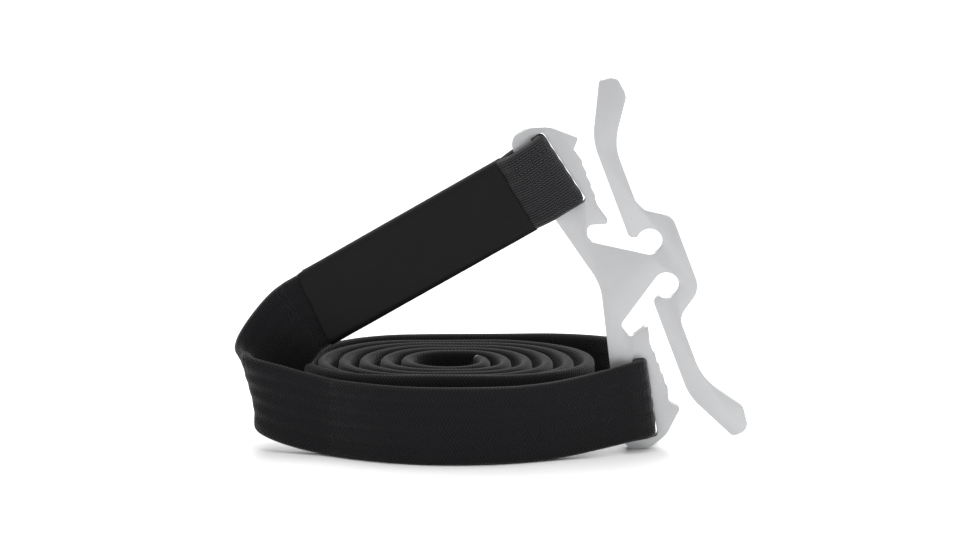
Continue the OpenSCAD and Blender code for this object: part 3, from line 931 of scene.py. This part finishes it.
def sleevePoint(x, y, k, halfW):
    # A point of the outline at share k of the length: drawn in between the layers along both
    # narrow sides, a little rippled, and most of all near its ends
    end = sleeve["shrunkBack"] + sleeve["oblique"] * y
    s = k * (sleeve["length"] + sleeve["reach"]) + (1 - k) * end
    narrow = max(0.0, (abs(y) - (halfW - sleeve["waistDepth"])) / sleeve["waistDepth"])
    y -= math.copysign(sleeve["waist"] * narrow * math.exp(-(x / sleeve["waistReach"]) ** 2), y)
    fade = sleeve["length"] / sleeve["endReach"]
    near = math.exp(-k * fade) + math.exp(-(1 - k) * fade)
    calm = sleeve["rippleCalm"]
    scaleAlong, scaleRound = sleeve["rippleScale"]
    grain = Vector((s * scaleAlong, y * scaleRound, x * scaleRound))
    wave = sleeve["ripple"] * (calm + (1 - calm) * near) * noise.noise(grain)
    length = Vector((x, y, 0)).length
    x, y = x * (1 + wave / length), y * (1 + wave / length)
    scaleAcross, scaleRow = sleeve["raggedScale"]
    tooth = Vector((y * scaleAcross, x * scaleAcross, k * scaleRow))
    ragged = sleeve["raggedEnd"] * noise.noise(tooth) * near
    start = sleeveEnd - sleeve["length"] * runDir
    spot = start + runDir * (s + ragged) + runFront * x + runAcross * y
    return (spot + route["shift"]) * mm


def makeSleeve():
    halfT = layerShift + strap["thickness"] / 2 + sleeve["clear"] + sleeve["wall"]
    halfW = strap["width"] / 2 + sleeve["clear"] + sleeve["wall"] - sleeve["press"]
    outline = roundedOutline(halfT, halfW, sleeve["corner"], *sleeve["cornerSteps"])
    rows, count = sleeve["rings"], len(outline)
    piece = addGrid(rows, count)
    piece.name = piece.data.name = "labelSleeve"
    for vertex in piece.data.vertices:
        i, j = cellOf(vertex, rows, count)
        x, y = outline[j % count]
        vertex.co = sleevePoint(x, y, i / rows, halfW)
    closeTube(withEnds=False)
    wall = piece.modifiers.new("filmWall", "SOLIDIFY")
    wall.thickness = sleeve["wall"] * mm
    wall.offset = -1
    rim = piece.modifiers.new("filmRim", "BEVEL")
    rim.width = sleeve["rim"] * mm
    rim.segments = sleeve["rimSegments"]
    rim.angle_limit = math.radians(sleeve["rimAngle"])
    for modifier in ("filmWall", "filmRim"):
        bpy.ops.object.modifier_apply(modifier=modifier)
    bpy.ops.object.shade_smooth_by_angle(angle=math.radians(sleeve["smoothAngle"]))
    piece.data.materials.append(filmMaterial)
    piece.select_set(False)
    return piece


labelSleeve = makeSleeve()
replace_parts(labelSleeve, "label_sleeve")
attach(labelSleeve, "strap")
print("sleeve made")


# The plate, with its edges broken by the tumbling

plate = {
    "edgeBreak": 0.28,
    "segments": 3,
    "mergeAt": 1e-6,  # metres
    "flatAngle": 0.3,
    "edgeAngle": 50.0,
    "smoothAngle": 20.0,
}


def makePlate():
    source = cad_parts["cleat_plate"]
    piece = bpy.data.objects.new("cleatPlate", source.data.copy())
    bpy.context.scene.collection.objects.link(piece)
    piece.data.name = "cleatPlate"
    piece.data.materials.clear()
    bpy.context.view_layer.objects.active = piece
    piece.select_set(True)
    bpy.ops.object.mode_set(mode="EDIT")
    bpy.ops.mesh.select_all(action="SELECT")
    bpy.ops.mesh.remove_doubles(threshold=plate["mergeAt"])
    bpy.ops.mesh.dissolve_limited(angle_limit=math.radians(plate["flatAngle"]))
    bpy.ops.object.mode_set(mode="OBJECT")
    edge = piece.modifiers.new("brokenEdge", "BEVEL")
    edge.width = plate["edgeBreak"] * mm
    edge.segments = plate["segments"]
    edge.limit_method = "ANGLE"
    edge.angle_limit = math.radians(plate["edgeAngle"])
    edge.use_clamp_overlap = True
    bpy.ops.object.modifier_apply(modifier="brokenEdge")
    bpy.ops.object.shade_smooth_by_angle(angle=math.radians(plate["smoothAngle"]))
    piece.data.materials.append(plateMaterial)
    piece.select_set(False)
    return piece


cleatPlate = makePlate()
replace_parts(cleatPlate, "cleat_plate")
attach(cleatPlate, "cleat")
print("plate made", len(cleatPlate.data.polygons), "faces")

# Pieces that keep their construction shape
keptFinish = {
    "tail_strands": latexMaterial,
    "anchor_fold_strands": latexMaterial,
    "label_run_strands": latexMaterial,
    "front_band_strands": latexMaterial,
    "front_stitching": threadMaterial,
    "tail_stitching": threadMaterial,
    "tail_end_seal": fusedMaterial,
}
for name, finish in keptFinish.items():
    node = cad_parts[name]
    node.data.materials.clear()
    node.data.materials.append(finish)
print("kept nodes finished")


# Floor, light and camera

studio = {
    "floorSize": 12.0,
    "floorColour": "#fcfcfc",
    "worldColour": "#ffffff",
    "worldStrength": 0.7,
}
floorMaterial, floorTree = newMaterial("whiteCard")
floorShader = addNode(floorTree, "ShaderNodeBsdfPrincipled", {
    "Base Color": linearColour(studio["floorColour"]), "Roughness": 0.75, "Specular IOR Level": 0.2})
addNode(floorTree, "ShaderNodeOutputMaterial", links={"Surface": floorShader.outputs[0]})
bpy.ops.mesh.primitive_plane_add(size=studio["floorSize"])
floor = bpy.context.active_object
floor.name = "studioFloor"
floor.data.materials.append(floorMaterial)
floor.select_set(False)

world = bpy.data.worlds.new("studioAir")
bpy.context.scene.world = world
world.use_nodes = True
world.node_tree.nodes["Background"].inputs[0].default_value = linearColour(studio["worldColour"])
world.node_tree.nodes["Background"].inputs[1].default_value = studio["worldStrength"]

lamps = {
    "keyLamp": {"place": (0.6, -0.9, 1.4), "size": 0.9, "power": 5.0},
    "topLamp": {"place": (0.0, 0.2, 1.5), "size": 1.1, "power": 12.0},
    "rimLamp": {"place": (0.1, 1.2, 1.1), "size": 0.9, "power": 16.0},
}
aim = Vector([(a + b) / 2 for a, b in zip(cadBox[0], cadBox[1])])
for name, lamp in lamps.items():
    bpy.ops.object.light_add(type="AREA", location=lamp["place"])
    light = bpy.context.active_object
    light.name = name
    light.data.size = lamp["size"]
    light.data.energy = lamp["power"]
    light.rotation_euler = (aim - light.location).to_track_quat("-Z", "Y").to_euler()
    light.select_set(False)

camera = {
    "distance": 1000.0,
    "stands": 13.5,  # degrees above the surface
    "looksDown": 10.87,
    "looksRight": 0.45,
    "lens": 153.5,
    "sensor": 36.0,
    "clipEnd": 50.0,  # metres
}
stands = math.radians(camera["stands"])
cameraWay = Vector((0, -math.cos(stands), math.sin(stands)))
bpy.ops.object.camera_add(location=(route["shift"] + camera["distance"] * cameraWay) * mm)
cameraPiece = bpy.context.active_object
cameraPiece.name = "sceneCamera"
cameraPiece.rotation_euler = (
    math.radians(90 - camera["looksDown"]), 0, math.radians(-camera["looksRight"]))
cameraPiece.data.lens = camera["lens"]
cameraPiece.data.sensor_width = camera["sensor"]
cameraPiece.data.clip_end = camera["clipEnd"]
bpy.context.scene.camera = cameraPiece
bpy.context.scene.view_settings.view_transform = "Standard"
print("studio made")
